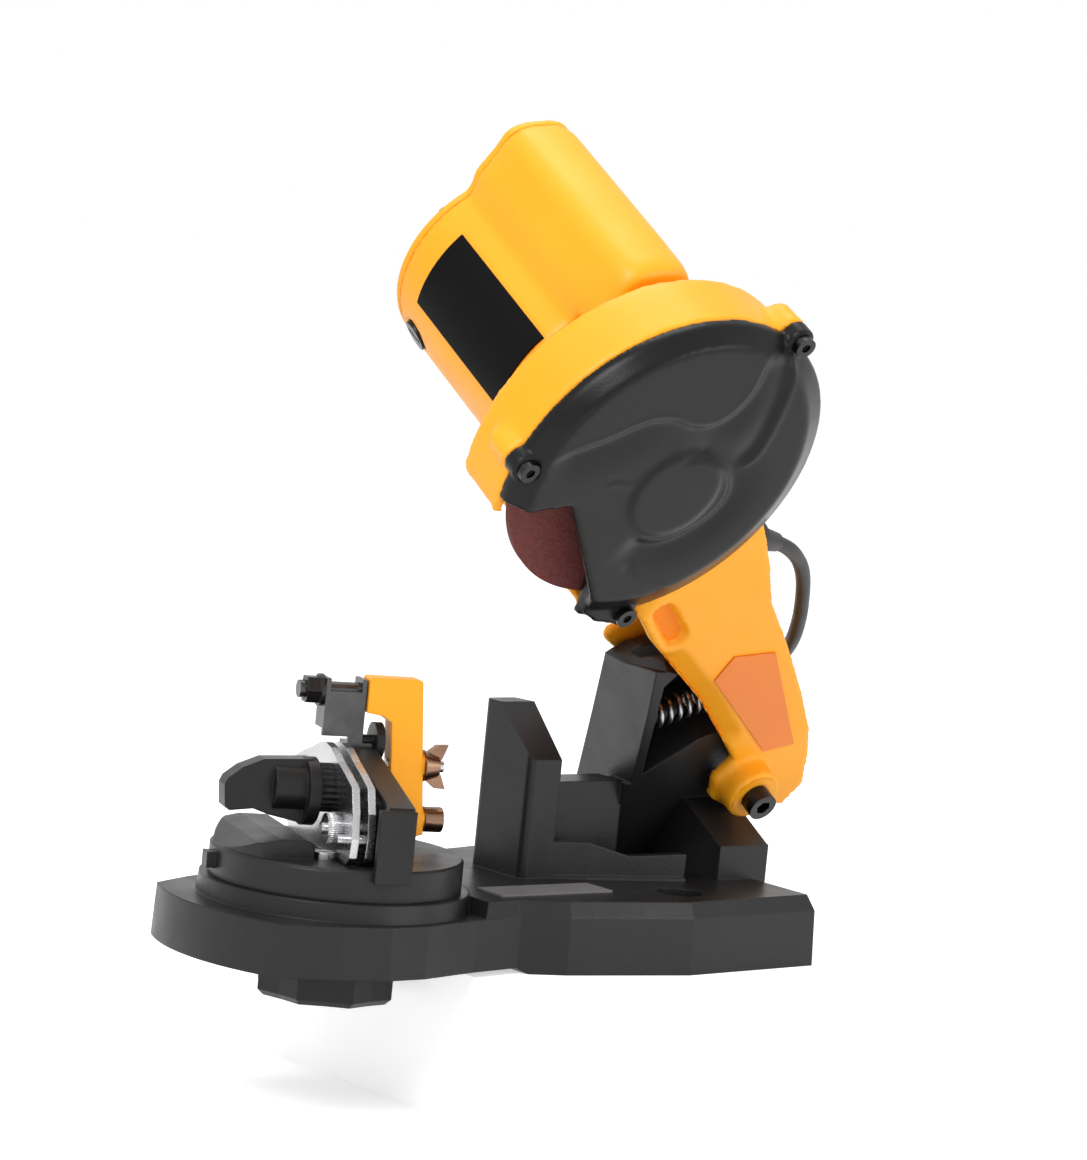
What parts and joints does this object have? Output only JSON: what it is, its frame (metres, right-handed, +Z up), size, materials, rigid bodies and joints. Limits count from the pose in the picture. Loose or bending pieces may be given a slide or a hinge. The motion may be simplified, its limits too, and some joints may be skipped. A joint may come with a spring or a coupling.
{
  "type": "electric chainsaw sharpener",
  "caption": "Bench-mounted electric chain grinder with a swinging motor head, guarded wheel and swivelling chain vise.",
  "frame": {"origin": "middle of the two bench bolt holes, on the plane of the bench top", "axes": "+Z up along the bolts, +X to the pivot end of the base, +Y away from the user, the vise at -X"},
  "size_m": [0.3567, 0.2675, 0.3014],
  "materials": {
    "black_plastic": "fine texture",
    "yellow_plastic": "satin",
    "steel": "zinc plated",
    "lamination": "dull",
    "copper": "turned",
    "plug_brass": "polished",
    "abrasive": "grainy",
    "carbon": "dull",
    "cord_rubber": "matt",
    "panel": "bare",
    "rocker_red": "glossy"
  },
  "bodies": {
    "base": {"base": "black_plastic", "label_plate": "panel", "pivot_bolt": "steel", "pivot_nut": "steel", "thrust_washers": "steel", "return_spring": "steel", "cord": "cord_rubber", "cord_coil": "cord_rubber", "coil_tie": "cord_rubber", "cord_tail": "cord_rubber", "plug": "cord_rubber", "plug_pins": "plug_brass"},
    "vise": {"turntable": "black_plastic", "lock_stud": "steel", "turntable_screw": "steel", "vise_bracket": "black_plastic", "fixed_rail": "steel", "rail_guide_pins": "steel", "clamp_stud": "steel", "rail_adjuster_screw": "steel", "stop_upright": "steel", "stop_pin": "steel", "stop_pin_nut": "steel"},
    "lock_knob": {"lock_knob": "black_plastic"},
    "moving_rail": {"moving_rail": "steel", "clamp_collar": "black_plastic"},
    "clamp_knob": {"clamp_knob": "black_plastic"},
    "rail_adjuster": {"rail_adjuster_nut": "steel"},
    "stop_lever": {"stop_lever": "yellow_plastic", "wing_screw": "steel"},
    "wing_nut": {"wing_nut": "steel"},
    "set_screw": {"lever_set_screw": "steel"},
    "stop_knob": {"stop_knob": "black_plastic"},
    "head": {"arm_housing": "yellow_plastic", "guard_cover": "black_plastic", "cover_screws": "steel", "motor_housing": "yellow_plastic", "motor_end_cap": "yellow_plastic", "cap_screws": "steel", "stator_pack": "lamination", "brush_holders": "black_plastic", "carbon_brushes": "carbon", "brush_caps": "black_plastic", "front_bearing": "steel", "rear_bearing": "steel", "motor_panel": "panel", "arm_panel": "yellow_plastic", "switch_body": "black_plastic", "pivot_bushes": "copper", "cord_grommet": "cord_rubber", "cord_lead": "cord_rubber"},
    "rotor": {"spindle": "steel", "inner_flange": "steel", "outer_flange": "steel", "wheel_nut": "steel", "grinding_wheel": "abrasive", "rotor_stack": "lamination", "commutator": "copper", "cooling_fan": "black_plastic"},
    "rocker": {"rocker": "rocker_red"}
  },
  "joints": [
    {"name": "head_swing", "type": "hinge", "parent": "base", "child": "head", "pos_m": [0.0472, -0.0086, 0.0621], "axis": [0, -0.848, -0.5299], "range_deg": [0, 26], "stiffness_Nm_per_rad": 4, "springref_deg": -34.38, "deforming": ["return_spring"]},
    {"name": "vise_swivel", "type": "hinge", "parent": "base", "child": "vise", "pos_m": [-0.122, 0, 0.03], "axis": [0, 0, 1], "range_deg": [-15, 55]},
    {"name": "lock_turn", "type": "hinge", "parent": "vise", "child": "lock_knob", "pos_m": [-0.122, 0, -0.006], "axis": [0, 0, 1], "range_deg": [-360, 0]},
    {"name": "rail_close", "type": "slide", "parent": "vise", "child": "moving_rail", "axis": [0.9397, -0.342, 0], "range_m": [0, 0.0014]},
    {"name": "clamp_turn", "type": "hinge", "parent": "moving_rail", "child": "clamp_knob", "pos_m": [-0.14353, -0.00068, 0.0587], "axis": [0.9397, -0.342, 0], "range_deg": [0, 403.2]},
    {"name": "adjuster_turn", "type": "hinge", "parent": "vise", "child": "rail_adjuster", "pos_m": [-0.13961, -0.01913, 0.0476], "axis": [0.9397, -0.342, 0], "range_deg": [-180, 180]},
    {"name": "stop_flip", "type": "hinge", "parent": "vise", "child": "stop_lever", "pos_m": [-0.10218, 0.00768, 0.0886], "axis": [0.9397, -0.342, 0], "range_deg": [0, 80]},
    {"name": "wing_turn", "type": "hinge", "parent": "stop_lever", "child": "wing_nut", "pos_m": [-0.08595, -0.00035, 0.0644], "axis": [0.9397, -0.342, 0], "range_deg": [-180, 180]},
    {"name": "set_screw_turn", "type": "hinge", "parent": "stop_lever", "child": "set_screw", "pos_m": [-0.08595, -0.00035, 0.046], "axis": [0.9397, -0.342, 0], "range_deg": [-180, 180]},
    {"name": "stop_knob_turn", "type": "hinge", "parent": "vise", "child": "stop_knob", "pos_m": [-0.10474, 0.00649, 0.0723], "axis": [0.9397, -0.342, 0], "range_deg": [-180, 180]},
    {"name": "wheel_spin", "type": "hinge", "parent": "head", "child": "rotor", "pos_m": [-0.0703, -0.08199, 0.17955], "axis": [0, -0.848, -0.5299], "continuous": true},
    {"name": "rocker_tilt", "type": "hinge", "parent": "head", "child": "rocker", "pos_m": [-0.07872, -0.01453, 0.27803], "axis": [-0.9848, 0.092, -0.1473], "range_deg": [-8, 8]}
  ],
  "couplings": [
    {"joint": "clamp_turn", "follows": "rail_close", "rad_per_m": 5026.5}
  ]
}
